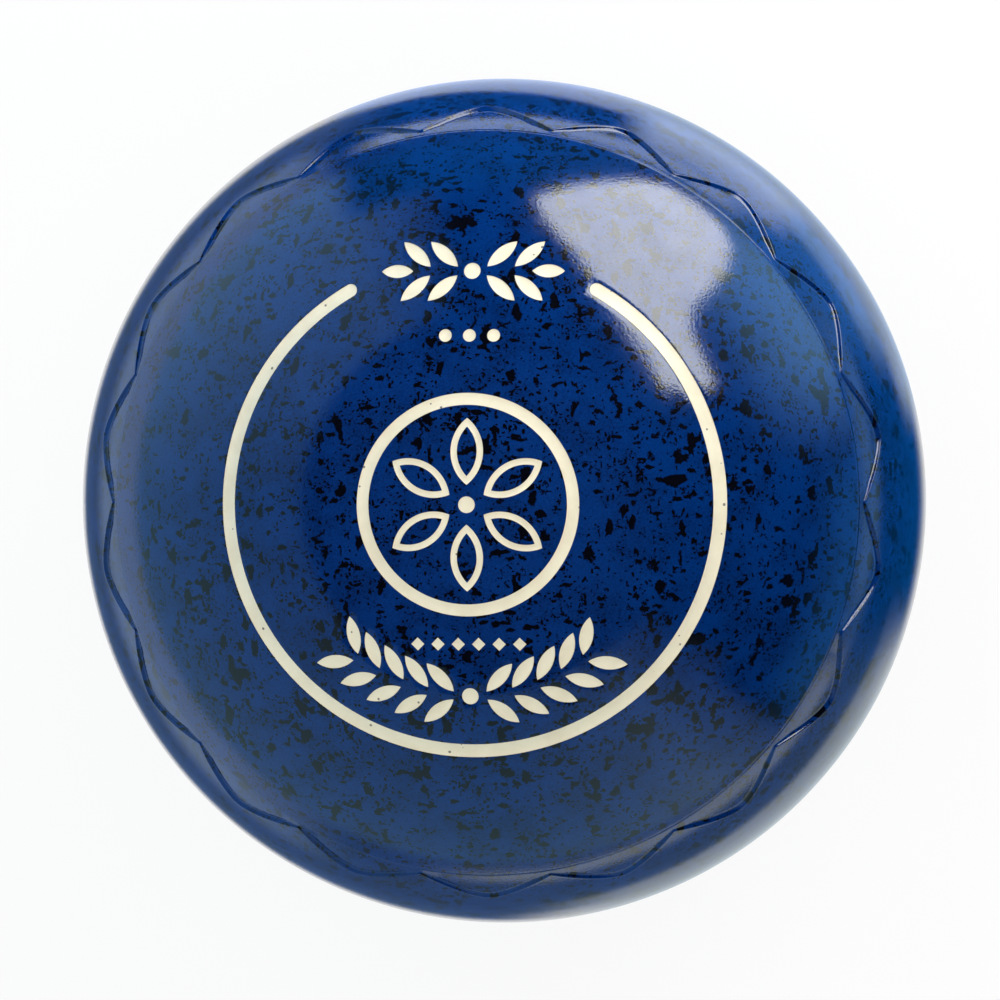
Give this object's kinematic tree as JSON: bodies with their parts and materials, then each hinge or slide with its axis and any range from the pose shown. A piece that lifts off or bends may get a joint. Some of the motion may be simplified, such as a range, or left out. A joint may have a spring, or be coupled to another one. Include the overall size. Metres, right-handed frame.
{
  "type": "lawn bowl",
  "caption": "Biased lawn bowl: flecked blue composition ball flattened on both sides, with scalloped finger grips, engraved rings and paint-filled ornament.",
  "frame": {"origin": "the pole of the bias side, on which the bowl lies, on the bowl's axis", "axes": "+Z along the bowl's axis, up through the pole of the large-ring side; +Y towards the open end of the large ring; +X to the right of the marks"},
  "size_m": [0.1214, 0.1214, 0.109],
  "materials": {
    "composition": "semi-gloss, blue with black flecks",
    "mark_paint": "cream enamel filled into the engraving"
  },
  "bodies": {
    "root": {"bowl_body": "composition", "large_ring_paint": "mark_paint", "small_ring_paint": "mark_paint", "rosette_paint": "mark_paint", "sprig_paint": "mark_paint", "pips_paint": "mark_paint", "lozenge_paint": "mark_paint", "wreath_paint": "mark_paint", "bias_ring_paint": "mark_paint", "bias_rosette_paint": "mark_paint"}
  },
  "joints": []
}
